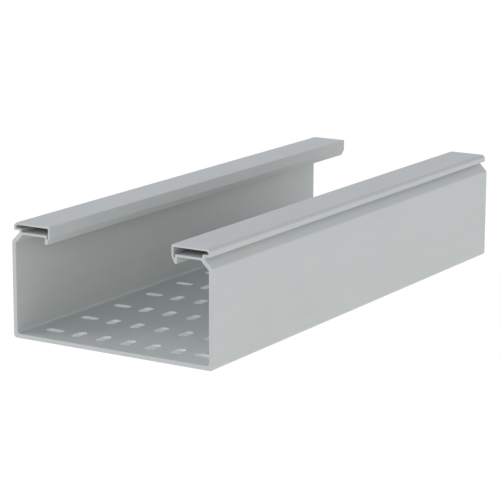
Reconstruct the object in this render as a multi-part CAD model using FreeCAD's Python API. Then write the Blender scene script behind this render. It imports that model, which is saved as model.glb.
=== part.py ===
"""Perforated cable tray: a short bar of rigid PVC cable tray, drawn as one profile.

The bar is one extrusion: a flat base with punched slots, two walls that lean inwards at their
top, and a hollow rail on each wall that carries a clip-on cover. Sizes are in millimetres.
X runs across the tray, Y along it and Z up. The origin is at the bottom centre.
"""
import FreeCAD, Part
import math
import os

# Overall sizes
tray_width = 200.0      # outside, over the two walls
tray_height = 100.0     # underside of the base to the top of the rails
bar_length = 500.0

# Base and walls
wall = 3.8              # thickness of the walls and of their leaning shoulders
base = 3.8              # thickness of the base
foot_radius = 3.0       # outer corner where a wall meets the base
inner_radius = 2.5      # inner corner where a wall meets the base
shoulder_drop = 16.1    # top of the tray down to where the wall starts to lean inwards
shoulder_radius = 2.5   # outer bend where the wall starts to lean inwards
neck_setback = 7.8      # outer face of the wall in to the neck under the rail's nose

# Rail: the hollow flange along the top of each wall
rail_width = 39.3       # outer face of the wall in to the inner face of the rail
rail_depth = 9.9        # top of the rail to the underside of its lower plate
rail_plate = 2.0        # thickness of the rail's top and lower plates
rail_web = 1.7          # thickness of the rail's inner side
neck_web = 2.2          # thickness of the wall at the neck

# Nose: the outer edge of the rail, which a cover clips over
nose_setback = 2.3      # outer face of the wall in to the outer face of the nose
nose_drop = 6.6         # top of the rail to the underside of the nose
nose_wall = 2.0         # thickness of the nose behind its outer and leaning faces
nose_lip = 1.6          # thickness of the nose's lower lip
lead_in_width = 2.5     # leaning face that guides the cover over the nose
lead_in_height = 2.2

# Hook: the keel under the inner side of the rail
hook_drop = 15.7        # top of the rail to the tip of the hook
hook_knee_drop = 9.8    # top of the rail to where the inner side starts to lean
hook_setback = 3.0      # inner face of the rail to the near corner of the tip
hook_tip = 2.0          # width of the flat at the tip
hook_limb = 1.8         # thickness of the hook's upright limb

# Rounding of the drawn edges
edge_radius = 0.4       # square corners
bend_radius = 0.8       # obtuse bends

# Slots in the base
slot_length = 17.0
slot_width = 8.5
column_pitch = 25.0     # between slots across the tray
row_pitch = 50.0        # between slots along the tray
side_land = 5.0         # least solid strip of base between a slot and the foot of a wall
end_land = 10.0         # least solid strip of base between a slot and a cut end
punch_overrun = 1.0     # how far the slot cutters stand out of both faces of the base

half_width = tray_width / 2
half_length = bar_length / 2


def section_point(x, z):
    """A point of the cross-section, on the near cut end of the bar."""
    return FreeCAD.Vector(x, -half_length, z)


def rounding_arc(before, corner, after, radius):
    """Start, middle and end of the arc that rounds a corner between two straight runs."""
    back = (before - corner).normalize()
    ahead = (after - corner).normalize()
    inwards = (back + ahead).normalize()
    half_angle = back.getAngle(ahead) / 2
    tangent_length = radius / math.tan(half_angle)
    reach = radius / math.sin(half_angle) - radius
    return corner + back * tangent_length, corner + inwards * reach, corner + ahead * tangent_length


def rounded_outline(corners):
    """Closed wire through corners given as (x, z, radius), each rounded by an arc."""
    points = [section_point(x, z) for x, z, _ in corners]
    arcs = []
    for number, (_, _, radius) in enumerate(corners):
        after = points[(number + 1) % len(points)]
        arcs.append(rounding_arc(points[number - 1], points[number], after, radius))
    edges = []
    for number, (start, middle, end) in enumerate(arcs):
        next_start = arcs[(number + 1) % len(arcs)][0]
        edges.append(Part.Arc(start, middle, end).toShape())
        edges.append(Part.makeLine(end, next_start))
    return Part.Wire(edges)


def mirrored(corners):
    """The same corners on the other side of the tray, in the opposite order."""
    return [(-x, z, radius) for x, z, radius in reversed(corners)]


def side_corners():
    """Outline of the right half of the section, from the foot of the wall round to the base."""
    shoulder_z = tray_height - shoulder_drop
    neck_x = half_width - neck_setback
    neck_z = shoulder_z + neck_setback
    nose_x = half_width - nose_setback
    nose_z = tray_height - nose_drop
    rail_x = half_width - rail_width
    plate_z = tray_height - rail_depth
    knee_z = tray_height - hook_knee_drop
    tip_z = tray_height - hook_drop
    tip_x = rail_x + hook_setback
    limb_x = tip_x + hook_tip
    # The shoulder leans at 45 degrees, so its inner face lies this far in, measured level
    shoulder_level = wall * math.sqrt(2)
    inner_x = half_width - wall
    return [
        (half_width, 0, foot_radius),
        (half_width, shoulder_z, shoulder_radius),
        (neck_x, neck_z, edge_radius),
        (neck_x, nose_z, edge_radius),
        (nose_x, nose_z, edge_radius),
        (nose_x, tray_height - lead_in_height, bend_radius),
        (nose_x - lead_in_width, tray_height, bend_radius),
        (rail_x, tray_height, edge_radius),
        (rail_x, knee_z, edge_radius),
        (tip_x, tip_z, edge_radius),
        (limb_x, tip_z, edge_radius),
        (limb_x, plate_z, edge_radius),
        (half_width + shoulder_z - shoulder_level - plate_z, plate_z, bend_radius),
        (inner_x, shoulder_z - shoulder_level + wall, bend_radius),
        (inner_x, base, inner_radius),
    ]


def chamber_corners():
    """Outline of the hollow inside the right rail."""
    rail_x = half_width - rail_width
    roof_z = tray_height - rail_plate
    floor_z = tray_height - rail_depth + rail_plate
    lip_z = tray_height - nose_drop + nose_lip
    neck_x = half_width - neck_setback - neck_web
    nose_x = half_width - nose_setback - nose_wall
    web_x = rail_x + rail_web
    limb_x = rail_x + hook_setback + hook_tip - hook_limb

    # Behind the lead-in: its lean, its wall's thickness measured level, and the two corners there
    lead_in_lean = lead_in_width / lead_in_height
    lead_in_level = nose_wall * math.hypot(1, lead_in_lean)
    roof_x = half_width - nose_setback - lead_in_level - (lead_in_height - rail_plate) * lead_in_lean
    nose_z = tray_height - lead_in_height - (lead_in_level - nose_wall) / lead_in_lean

    # Behind the hook's leaning face, in the same way
    hook_lean = hook_setback / (hook_drop - hook_knee_drop)
    hook_level = rail_web * math.hypot(1, hook_lean)
    web_z = tray_height - hook_knee_drop + (hook_level - rail_web) / hook_lean
    notch_z = tray_height - hook_knee_drop - (limb_x - rail_x - hook_level) / hook_lean

    return [
        (web_x, roof_z, edge_radius),
        (roof_x, roof_z, edge_radius),
        (nose_x, nose_z, edge_radius),
        (nose_x, lip_z, edge_radius),
        (neck_x, lip_z, bend_radius),
        (neck_x, floor_z, edge_radius),
        (limb_x, floor_z, edge_radius),
        (limb_x, notch_z, edge_radius),
        (web_x, web_z, edge_radius),
    ]


def make_profile():
    """The bar without its slots: the section drawn along the whole length."""
    right_side = side_corners()
    outline = rounded_outline(right_side + mirrored(right_side))
    chamber = chamber_corners()
    chambers = [rounded_outline(chamber), rounded_outline(mirrored(chamber))]
    section = Part.Face(outline).cut([Part.Face(wire) for wire in chambers]).Faces[0]
    return section.extrude(FreeCAD.Vector(0, bar_length, 0))


def make_slot(x, y, crosswise):
    """Cutter for one slot with round ends, standing through the base."""
    radius = slot_width / 2
    half_straight = slot_length / 2 - radius
    corners = [FreeCAD.Vector(half_straight, -radius, 0), FreeCAD.Vector(half_straight, radius, 0),
               FreeCAD.Vector(-half_straight, radius, 0), FreeCAD.Vector(-half_straight, -radius, 0)]
    right_end = Part.Arc(corners[0], FreeCAD.Vector(slot_length / 2, 0, 0), corners[1]).toShape()
    left_end = Part.Arc(corners[2], FreeCAD.Vector(-slot_length / 2, 0, 0), corners[3]).toShape()
    outline = Part.Wire([right_end, Part.makeLine(corners[1], corners[2]),
                         left_end, Part.makeLine(corners[3], corners[0])])
    cutter = Part.Face(outline).extrude(FreeCAD.Vector(0, 0, base + 2 * punch_overrun))
    if not crosswise:
        cutter.rotate(FreeCAD.Vector(0, 0, 0), FreeCAD.Vector(0, 0, 1), 90)
    cutter.translate(FreeCAD.Vector(x, y, -punch_overrun))
    return cutter


def slot_cutters():
    """Rows of slots that run along the tray, with one crosswise slot beside each wall."""
    column_room = half_width - wall - side_land - slot_length / 2
    side_columns = int(column_room / column_pitch)
    row_room = bar_length - 2 * end_land - slot_length
    row_count = int(row_room / row_pitch) + 1
    first_row = -row_pitch * (row_count - 1) / 2
    cutters = []
    for row in range(row_count):
        y = first_row + row * row_pitch
        for column in range(-side_columns, side_columns + 1):
            beside_wall = abs(column) == side_columns
            cutters.append(make_slot(column * column_pitch, y, beside_wall))
    return cutters


def make_cable_tray():
    """The finished bar."""
    return make_profile().cut(slot_cutters())


os.makedirs("parts", exist_ok=True)
cable_tray = make_cable_tray()
cable_tray.exportStep("parts/cable_tray.step")
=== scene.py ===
"""Looks of the perforated cable tray: a bar of extruded light grey PVC with punched slots."""
import math

import bmesh
import bpy
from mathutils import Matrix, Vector


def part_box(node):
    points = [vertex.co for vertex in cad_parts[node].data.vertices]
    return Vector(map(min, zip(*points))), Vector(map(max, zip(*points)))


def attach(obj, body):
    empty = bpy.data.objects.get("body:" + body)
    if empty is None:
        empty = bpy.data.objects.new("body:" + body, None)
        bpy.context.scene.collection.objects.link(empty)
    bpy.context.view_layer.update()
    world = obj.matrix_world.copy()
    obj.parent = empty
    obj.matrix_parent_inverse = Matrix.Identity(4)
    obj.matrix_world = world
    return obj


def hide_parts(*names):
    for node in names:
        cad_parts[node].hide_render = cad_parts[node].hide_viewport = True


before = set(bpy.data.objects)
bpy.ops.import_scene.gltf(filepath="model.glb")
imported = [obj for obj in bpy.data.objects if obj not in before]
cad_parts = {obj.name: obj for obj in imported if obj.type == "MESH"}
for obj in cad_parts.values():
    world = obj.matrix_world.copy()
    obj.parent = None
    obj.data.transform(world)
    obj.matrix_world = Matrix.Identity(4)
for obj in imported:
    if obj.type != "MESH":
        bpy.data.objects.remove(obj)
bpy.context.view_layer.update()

MM = 0.001

# The bar's own box, from the frame
low_corner, high_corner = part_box("cable_tray")
half_width = high_corner.x
top_z = high_corner.z
front_y = low_corner.y
bar_length = high_corner.y - low_corner.y

# Base and walls
wall = 3.8 * MM
base = 3.8 * MM
foot_radius = 3.0 * MM
inner_radius = 2.5 * MM
shoulder_drop = 16.1 * MM     # from the top down to where the wall starts to lean inwards
shoulder_radius = 2.5 * MM    # outer bend there
neck_setback = 7.8 * MM       # from the wall's outer face in to the neck under the nose

# Hollow rail along the top of each wall
rail_width = 39.3 * MM
rail_depth = 9.9 * MM
rail_plate = 2.0 * MM
rail_web = 1.7 * MM
neck_web = 2.2 * MM

# Nose on the rail's outer edge, which a cover clips over
nose_setback = 2.3 * MM
nose_drop = 6.6 * MM
nose_wall = 2.0 * MM
nose_lip = 1.6 * MM
lead_in_width = 2.5 * MM
lead_in_height = 2.2 * MM

# Hook under the rail's inner edge
hook_drop = 15.7 * MM
hook_knee_drop = 9.8 * MM
hook_setback = 3.0 * MM
hook_tip = 2.0 * MM
hook_limb = 1.8 * MM

# Rounding that the die leaves on square corners and on obtuse bends
edge_radius = 0.4 * MM
bend_radius = 0.8 * MM
corner_steps = 4              # straight pieces in a right-angled corner's arc

# Slots
slot_length = 17.0 * MM
slot_width = 8.5 * MM
column_pitch = 25.0 * MM
row_pitch = 50.0 * MM
side_columns = 3              # columns each side of the middle one
row_count = 10
slot_end_steps = 10           # straight pieces in a quarter of a slot's round end
cut_overrun = 1.0 * MM        # how far a slot's punch or a rail's core stands out of the bar

# Edges broken by the saw and the punch
broken_edge = 0.22 * MM
broken_edge_steps = 2
broken_edge_turn = math.radians(60)    # least turn of an edge that gets broken

same_place = 0.01 * MM        # points closer together than this count as one


def linear(hex_colour):
    """The linear colour, with alpha, of an sRGB hex value."""
    channels = []
    for start in (1, 3, 5):
        value = int(hex_colour[start:start + 2], 16) / 255
        channels.append(value / 12.92 if value <= 0.04045 else ((value + 0.055) / 1.055) ** 2.4)
    return (*channels, 1.0)


def add_node(tree, kind, links=None, **settings):
    """A new node in a material's tree, with its settings and what feeds its inputs.

    A setting that is an input's name with _ for its spaces sets that input, and any other sets the
    node's own property. links gives an input's name or number and the socket that feeds it."""
    node = tree.nodes.new(kind)
    for name, value in settings.items():
        socket = node.inputs.get(name.replace("_", " "))
        if socket is None:
            setattr(node, name, value)
        else:
            socket.default_value = value
    for name, source in (links or {}).items():
        tree.links.new(source, node.inputs[name])
    return node


def new_material(name):
    """An empty material with its tree and its output node."""
    material = bpy.data.materials.new(name)
    material.use_nodes = True
    material.node_tree.nodes.clear()
    output = material.node_tree.nodes.new("ShaderNodeOutputMaterial")
    return material, material.node_tree, output


def extruded_pvc():
    """Rigid PVC as it leaves the die: light grey right through, satin, with lines along the bar."""
    material, tree, output = new_material("extruded_rigid_pvc")
    place = add_node(tree, "ShaderNodeTexCoord").outputs["Object"]

    # Die lines about 1.5 mm apart and as long as the bar, drawn coarser than the real ones
    along_bar = add_node(tree, "ShaderNodeMapping", {"Vector": place}, Scale=(1.0, 0.002, 1.0))
    die_lines = add_node(tree, "ShaderNodeTexNoise", {"Vector": along_bar.outputs[0]},
                         Scale=1 / (1.5 * MM), Detail=4.0, Roughness=0.65)
    # Cooling marks: faint patches some 60 mm long and 12 mm wide
    patch_place = add_node(tree, "ShaderNodeMapping", {"Vector": place}, Scale=(1.0, 0.2, 1.0))
    patches = add_node(tree, "ShaderNodeTexNoise", {"Vector": patch_place.outputs[0]},
                       Scale=1 / (12.0 * MM), Detail=2.0, Roughness=0.5)
    # Matt grain of about 0.4 mm
    grain = add_node(tree, "ShaderNodeTexNoise", {"Vector": place},
                     Scale=1 / (0.4 * MM), Detail=2.0, Roughness=0.6)

    streaks = add_node(tree, "ShaderNodeMapRange", {"Value": die_lines.outputs["Fac"]},
                       From_Min=0.3, From_Max=0.7, To_Min=0.35, To_Max=0.65)
    mottle = add_node(tree, "ShaderNodeMath",
                      {0: streaks.outputs[0], 1: patches.outputs["Fac"]}, operation="MULTIPLY")
    colour = add_node(tree, "ShaderNodeMixRGB", {"Fac": mottle.outputs[0]},
                      Color1=linear("#c2c6c3"), Color2=linear("#cfd3d0"))
    gloss = add_node(tree, "ShaderNodeMapRange", {"Value": die_lines.outputs["Fac"]},
                     From_Min=0.3, From_Max=0.7, To_Min=0.36, To_Max=0.52)
    line_bump = add_node(tree, "ShaderNodeBump", {"Height": die_lines.outputs["Fac"]},
                         Strength=0.6, Distance=0.06 * MM)
    grain_bump = add_node(tree, "ShaderNodeBump",
                          {"Height": grain.outputs["Fac"], "Normal": line_bump.outputs[0]},
                          Strength=0.25, Distance=0.02 * MM)
    surface = add_node(tree, "ShaderNodeBsdfPrincipled",
                       {"Base Color": colour.outputs[0], "Roughness": gloss.outputs[0],
                        "Normal": grain_bump.outputs[0]}, IOR=1.53)
    tree.links.new(surface.outputs[0], output.inputs["Surface"])
    return material


def sawn_pvc_painted_shade():
    """The same PVC where a circular saw has cut the bar: duller, with arcs, and a little darker as
    painted shade.
    """
    material, tree, output = new_material("sawn_rigid_pvc_painted_shade")
    place = add_node(tree, "ShaderNodeTexCoord").outputs["Object"]

    # Tooth marks: arcs 1.2 mm apart about the blade's axis, which lies 160 mm below the base and
    # 60 mm left of its middle
    blade_place = add_node(tree, "ShaderNodeMapping", {"Vector": place},
                           Location=(60 * MM, 0.0, 160 * MM))
    teeth = add_node(tree, "ShaderNodeTexWave", {"Vector": blade_place.outputs[0]},
                     wave_type="RINGS", rings_direction="Y", Scale=math.pi / (10 * 1.2 * MM),
                     Distortion=4.0, Detail=2.0, Detail_Scale=0.3)
    chips = add_node(tree, "ShaderNodeTexNoise", {"Vector": place},
                     Scale=1 / (0.3 * MM), Detail=2.0)

    # Both tones are a little darker than the skin's: painted shade on the sawn ends for the small
    # shadows of the saw marks.
    colour = add_node(tree, "ShaderNodeMixRGB", {"Fac": teeth.outputs["Fac"]},
                      Color1=linear("#b7bbba"), Color2=linear("#bbbfbe"))
    tooth_bump = add_node(tree, "ShaderNodeBump", {"Height": teeth.outputs["Fac"]},
                          Strength=0.25, Distance=0.04 * MM)
    chip_bump = add_node(tree, "ShaderNodeBump",
                         {"Height": chips.outputs["Fac"], "Normal": tooth_bump.outputs[0]},
                         Strength=0.2, Distance=0.03 * MM)
    surface = add_node(tree, "ShaderNodeBsdfPrincipled",
                       {"Base Color": colour.outputs[0], "Normal": chip_bump.outputs[0]},
                       Roughness=0.6, IOR=1.53)
    tree.links.new(surface.outputs[0], output.inputs["Surface"])
    return material


def punched_pvc_painted_light():
    """The same PVC on the walls of a slot punched from below: polished below, pale where it tore
    above, that paleness partly painted light.
    """
    material, tree, output = new_material("punched_rigid_pvc_painted_light")
    place = add_node(tree, "ShaderNodeTexCoord").outputs["Object"]

    height = add_node(tree, "ShaderNodeSeparateXYZ", {"Vector": place})
    # Paler up the slot wall: the tear zone, and painted light that brightens the upper wall where
    # little light reaches it.
    torn_zone_and_painted_light = add_node(tree, "ShaderNodeMapRange", {"Value": height.outputs["Z"]},
                    From_Min=0.25 * base, From_Max=0.7 * base)
    # Scores 0.5 mm apart round the slot that run the way the punch went
    punch_place = add_node(tree, "ShaderNodeMapping", {"Vector": place}, Scale=(1.0, 1.0, 0.1))
    scores = add_node(tree, "ShaderNodeTexNoise", {"Vector": punch_place.outputs[0]},
                      Scale=1 / (0.5 * MM), Detail=2.0)

    colour = add_node(tree, "ShaderNodeMixRGB", {"Fac": torn_zone_and_painted_light.outputs[0]},
                      Color1=linear("#c4c8c6"), Color2=linear("#dbdedd"))
    gloss = add_node(tree, "ShaderNodeMapRange", {"Value": torn_zone_and_painted_light.outputs[0]},
                     To_Min=0.35, To_Max=0.65)
    score_bump = add_node(tree, "ShaderNodeBump", {"Height": scores.outputs["Fac"]},
                          Strength=0.3, Distance=0.04 * MM)
    surface = add_node(tree, "ShaderNodeBsdfPrincipled",
                       {"Base Color": colour.outputs[0], "Roughness": gloss.outputs[0],
                        "Normal": score_bump.outputs[0]}, IOR=1.53)
    tree.links.new(surface.outputs[0], output.inputs["Surface"])
    return material


def select_only(piece):
    """Makes one object the active and only selected one."""
    bpy.ops.object.select_all(action="DESELECT")
    piece.select_set(True)
    bpy.context.view_layer.objects.active = piece


def select_vertices(piece, wanted):
    """In edit mode, selects just the vertices whose place passes a test."""
    bpy.ops.mesh.select_mode(type="VERT")
    bpy.ops.mesh.select_all(action="DESELECT")
    mesh = bmesh.from_edit_mesh(piece.data)
    for vertex in mesh.verts:
        vertex.select = wanted(vertex.co)
    mesh.select_flush_mode()
    bmesh.update_edit_mesh(piece.data)


def round_corner(piece, before, corner, after, radius):
    """In edit mode, rounds one corner of a flat outline."""
    back = (before - corner).normalized()
    ahead = (after - corner).normalized()
    half_angle = back.angle(ahead) / 2
    turn = math.pi - 2 * half_angle
    select_vertices(piece, lambda place: (place - corner).length < same_place)
    bpy.ops.mesh.bevel(affect="VERTICES", offset_type="OFFSET", offset=radius / math.tan(half_angle),
                       segments=max(2, round(corner_steps * turn / (math.pi / 2))),
                       clamp_overlap=False)


def drawn_bar(name, corners, start_y, length):
    """A bar with a drawn section: corners are (x, z, radius), joined by lines and rounded."""
    points = [Vector((x, start_y, z)) for x, z, _ in corners]
    bpy.ops.object.select_all(action="DESELECT")
    bpy.ops.mesh.primitive_plane_add(size=MM)
    bar = bpy.context.object
    bar.name = name
    bpy.ops.object.mode_set(mode="EDIT")
    bpy.ops.mesh.merge(type="CENTER")
    bpy.ops.transform.translate(value=points[0])
    for here, there in zip(points, points[1:]):
        bpy.ops.mesh.extrude_region_move(TRANSFORM_OT_translate={"value": there - here})
    bpy.ops.mesh.select_all(action="SELECT")
    bpy.ops.mesh.edge_face_add()
    for number, (_, _, radius) in enumerate(corners):
        after = points[(number + 1) % len(points)]
        round_corner(bar, points[number - 1], points[number], after, radius)
    bpy.ops.mesh.select_all(action="SELECT")
    bpy.ops.mesh.extrude_region_move(TRANSFORM_OT_translate={"value": (0, length, 0)})
    bpy.ops.mesh.select_all(action="SELECT")
    bpy.ops.mesh.normals_make_consistent(inside=False)
    bpy.ops.object.mode_set(mode="OBJECT")
    return bar


def mirrored(corners):
    """The same corners on the other side of the tray, in the opposite order."""
    return [(-x, z, radius) for x, z, radius in reversed(corners)]


def side_corners():
    """Right half of the bar's outline, from the foot of the wall round to the base."""
    shoulder_z = top_z - shoulder_drop
    neck_x = half_width - neck_setback
    nose_x = half_width - nose_setback
    nose_z = top_z - nose_drop
    rail_x = half_width - rail_width
    plate_z = top_z - rail_depth
    tip_z = top_z - hook_drop
    tip_x = rail_x + hook_setback
    limb_x = tip_x + hook_tip
    inner_x = half_width - wall
    shoulder_level = wall * math.sqrt(2)
    return [
        (half_width, 0, foot_radius),
        (half_width, shoulder_z, shoulder_radius),
        (neck_x, shoulder_z + neck_setback, edge_radius),
        (neck_x, nose_z, edge_radius),
        (nose_x, nose_z, edge_radius),
        (nose_x, top_z - lead_in_height, bend_radius),
        (nose_x - lead_in_width, top_z, bend_radius),
        (rail_x, top_z, edge_radius),
        (rail_x, top_z - hook_knee_drop, edge_radius),
        (tip_x, tip_z, edge_radius),
        (limb_x, tip_z, edge_radius),
        (limb_x, plate_z, edge_radius),
        (half_width + shoulder_z - shoulder_level - plate_z, plate_z, bend_radius),
        (inner_x, shoulder_z - shoulder_level + wall, bend_radius),
        (inner_x, base, inner_radius),
    ]


def chamber_corners():
    """Outline of the hollow inside the right rail."""
    rail_x = half_width - rail_width
    roof_z = top_z - rail_plate
    floor_z = top_z - rail_depth + rail_plate
    lip_z = top_z - nose_drop + nose_lip
    neck_x = half_width - neck_setback - neck_web
    nose_x = half_width - nose_setback - nose_wall
    web_x = rail_x + rail_web
    limb_x = rail_x + hook_setback + hook_tip - hook_limb
    # Thickness of the two leaning walls, measured level
    lead_in_lean = lead_in_width / lead_in_height
    lead_in_level = nose_wall * math.hypot(1, lead_in_lean)
    hook_lean = hook_setback / (hook_drop - hook_knee_drop)
    hook_level = rail_web * math.hypot(1, hook_lean)
    roof_x = half_width - nose_setback - lead_in_level - (lead_in_height - rail_plate) * lead_in_lean
    return [
        (web_x, roof_z, edge_radius),
        (roof_x, roof_z, edge_radius),
        (nose_x, top_z - lead_in_height - (lead_in_level - nose_wall) / lead_in_lean, edge_radius),
        (nose_x, lip_z, edge_radius),
        (neck_x, lip_z, bend_radius),
        (neck_x, floor_z, edge_radius),
        (limb_x, floor_z, edge_radius),
        (limb_x, top_z - hook_knee_drop - (limb_x - rail_x - hook_level) / hook_lean, edge_radius),
        (web_x, top_z - hook_knee_drop + (hook_level - rail_web) / hook_lean, edge_radius),
    ]


def slot_punch():
    """The punch for one slot, lengthwise across the tray, with fully round ends."""
    bpy.ops.object.select_all(action="DESELECT")
    bpy.ops.mesh.primitive_cube_add(size=1, scale=(slot_length, slot_width, base + 2 * cut_overrun))
    punch = bpy.context.object
    bpy.ops.object.transform_apply(location=True, rotation=True, scale=True)
    bpy.ops.object.mode_set(mode="EDIT")
    bpy.ops.mesh.select_mode(type="EDGE")
    bpy.ops.mesh.select_all(action="DESELECT")
    mesh = bmesh.from_edit_mesh(punch.data)
    for edge in mesh.edges:
        first, last = edge.verts
        edge.select = abs(first.co.z - last.co.z) > base
    bmesh.update_edit_mesh(punch.data)
    bpy.ops.mesh.bevel(affect="EDGES", offset_type="OFFSET", offset=slot_width / 2,
                       segments=slot_end_steps, clamp_overlap=False)
    bpy.ops.mesh.select_all(action="SELECT")
    bpy.ops.mesh.remove_doubles(threshold=same_place)
    bpy.ops.mesh.normals_make_consistent(inside=False)
    bpy.ops.object.mode_set(mode="OBJECT")
    return punch


def slot_punches():
    """Copies of the punch at every slot: crosswise beside the walls, lengthwise between them."""
    first = slot_punch()
    punches = []
    middle_y = front_y + bar_length / 2
    for row in range(row_count):
        y = middle_y + (row - (row_count - 1) / 2) * row_pitch
        for column in range(-side_columns, side_columns + 1):
            punch = first.copy()
            punch.data = first.data.copy()
            bpy.context.scene.collection.objects.link(punch)
            if abs(column) < side_columns:
                punch.rotation_euler.z = math.pi / 2
            punch.location = (column * column_pitch, y, base / 2)
            punches.append(punch)
    bpy.data.objects.remove(first)
    return punches


def joined(pieces):
    """Several objects made one, with its place in its mesh."""
    bpy.ops.object.select_all(action="DESELECT")
    for piece in pieces:
        piece.select_set(True)
    bpy.context.view_layer.objects.active = pieces[0]
    bpy.ops.object.join()
    bpy.ops.object.transform_apply(location=True, rotation=True, scale=True)
    return bpy.context.object


def apply_modifier(piece, name, kind, **settings):
    """Adds a modifier with its settings and applies it."""
    select_only(piece)
    modifier = piece.modifiers.new(name, kind)
    for setting, value in settings.items():
        setattr(modifier, setting, value)
    bpy.ops.object.modifier_apply(modifier=modifier.name)


def give_materials(bar):
    """Extruded skin all over, with sawn PVC on the two ends and punched PVC in the slots."""
    for material in (extruded_pvc(), sawn_pvc_painted_shade(), punched_pvc_painted_light()):
        bar.data.materials.append(material)
    skin, sawn, punched = range(3)
    slot_reach = side_columns * column_pitch + slot_length
    for face in bar.data.polygons:
        at_an_end = abs(abs(face.center.y) - bar_length / 2) < same_place
        looks_along = abs(face.normal.y) > 0.99
        upright = abs(face.normal.z) < 0.1
        in_a_slot = face.center.z < base and abs(face.center.x) < slot_reach
        face.material_index = skin
        if looks_along and at_an_end:
            face.material_index = sawn
        elif upright and in_a_slot:
            face.material_index = punched


def make_bar():
    """The tray: the drawn bar with its rail chambers and slots cut out and its edges broken."""
    right_side = side_corners()
    bar = drawn_bar("tray_bar", right_side + mirrored(right_side), front_y, bar_length)
    chamber = chamber_corners()
    core_start = front_y - cut_overrun
    core_length = bar_length + 2 * cut_overrun
    cores = [drawn_bar("rail_core", outline, core_start, core_length)
             for outline in (chamber, mirrored(chamber))]
    waste = joined(cores + slot_punches())
    apply_modifier(bar, "cut_out", "BOOLEAN", operation="DIFFERENCE", object=waste, solver="EXACT")
    bpy.data.objects.remove(waste)
    give_materials(bar)
    apply_modifier(bar, "break_edges", "BEVEL", limit_method="ANGLE", angle_limit=broken_edge_turn,
                   width=broken_edge, segments=broken_edge_steps, use_clamp_overlap=False)
    select_only(bar)
    bpy.ops.object.shade_smooth()
    apply_modifier(bar, "flat_faces", "WEIGHTED_NORMAL", mode="FACE_AREA", weight=100)
    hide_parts("cable_tray")
    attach(bar, "root")
    return bar


def seen_directly(tree):
    """Socket that is 1 for camera, glossy and transmission rays and 0 for diffuse ones."""
    rays = add_node(tree, "ShaderNodeLightPath")
    seen_or_mirrored = add_node(tree, "ShaderNodeMath",
                                {0: rays.outputs["Is Camera Ray"], 1: rays.outputs["Is Glossy Ray"]},
                                operation="ADD")
    all_direct = add_node(tree, "ShaderNodeMath",
                          {0: seen_or_mirrored.outputs[0], 1: rays.outputs["Is Transmission Ray"]},
                          operation="ADD", use_clamp=True)
    return all_direct.outputs[0]


def make_floor():
    """Plain white light table that keeps a faint shadow and glows a little up into the slots."""
    floor_size = 40.0
    glow_strength = 0.57
    white_strength = 1.05
    white_share = 0.8         # the rest of what the camera sees is the paint with its shadow
    bpy.ops.mesh.primitive_plane_add(size=floor_size)
    floor = bpy.context.object
    floor.name = "floor"
    material, tree, output = new_material("white_floor")
    share = add_node(tree, "ShaderNodeMapRange", {"Value": seen_directly(tree)},
                     To_Max=white_share)
    paint = add_node(tree, "ShaderNodeBsdfDiffuse", Color=linear("#c4c4c4"))
    glow = add_node(tree, "ShaderNodeEmission", Strength=glow_strength)
    lit_from_below = add_node(tree, "ShaderNodeAddShader", {0: paint.outputs[0], 1: glow.outputs[0]})
    white = add_node(tree, "ShaderNodeEmission", Strength=white_strength)
    mixed = add_node(tree, "ShaderNodeMixShader",
                     {0: share.outputs[0], 1: lit_from_below.outputs[0], 2: white.outputs[0]})
    tree.links.new(mixed.outputs[0], output.inputs["Surface"])
    floor.data.materials.append(material)


def make_world():
    """Even, slightly cool surroundings, brighter to the camera and plain white there."""
    world_light = 0.48
    world = bpy.data.worlds.new("white_room")
    bpy.context.scene.world = world
    world.use_nodes = True
    tree = world.node_tree
    tree.nodes.clear()
    rays = add_node(tree, "ShaderNodeLightPath")
    strength = add_node(tree, "ShaderNodeMapRange", {"Value": seen_directly(tree)},
                        To_Min=world_light, To_Max=1.0)
    tint = add_node(tree, "ShaderNodeMixRGB", {"Fac": rays.outputs["Is Camera Ray"]},
                    Color1=linear("#f5f7ff"), Color2=linear("#ffffff"))
    background = add_node(tree, "ShaderNodeBackground",
                          {"Color": tint.outputs[0], "Strength": strength.outputs[0]})
    output = tree.nodes.new("ShaderNodeOutputWorld")
    tree.links.new(background.outputs[0], output.inputs["Surface"])


def add_softbox(name, turn, height, power):
    """A square area lamp that faces the middle of the tray.

    turn is the angle from +X towards +Y and height the one above the floor, both in degrees. A low
    softbox reaches a little below the floor, which hides that part of it."""
    distance = 6.0
    side = 3.8
    level = distance * math.cos(math.radians(height))
    place = Vector((level * math.cos(math.radians(turn)), level * math.sin(math.radians(turn)),
                    distance * math.sin(math.radians(height))))
    lamp = bpy.data.lights.new(name, "AREA")
    lamp.shape = "SQUARE"
    lamp.size = side
    lamp.energy = power
    softbox = bpy.data.objects.new(name, lamp)
    softbox.location = place
    softbox.visible_camera = False
    aim = Vector((0, 0, top_z / 2)) - place
    softbox.rotation_euler = aim.to_track_quat("-Z", "Y").to_euler()
    bpy.context.scene.collection.objects.link(softbox)


def make_camera():
    """The photograph's view, solved from the tray's own straight edges."""
    camera_data = bpy.data.cameras.new("camera")
    camera_data.sensor_width = 36.0
    camera_data.lens = 155.99
    camera = bpy.data.objects.new("camera", camera_data)
    camera.location = (1.00001, -1.65704, 0.47786)
    camera.rotation_euler = [math.radians(turn) for turn in (77.2533, -0.1827, 31.6383)]
    bpy.context.scene.collection.objects.link(camera)
    bpy.context.scene.camera = camera


make_bar()
make_floor()
make_world()
add_softbox("softbox_front_right", -60, 8, 88.0)
add_softbox("softbox_back_right", 35, 8, 55.0)
add_softbox("softbox_front_left", -150, 20, 145.0)
make_camera()
bpy.context.scene.view_settings.view_transform = "Standard"
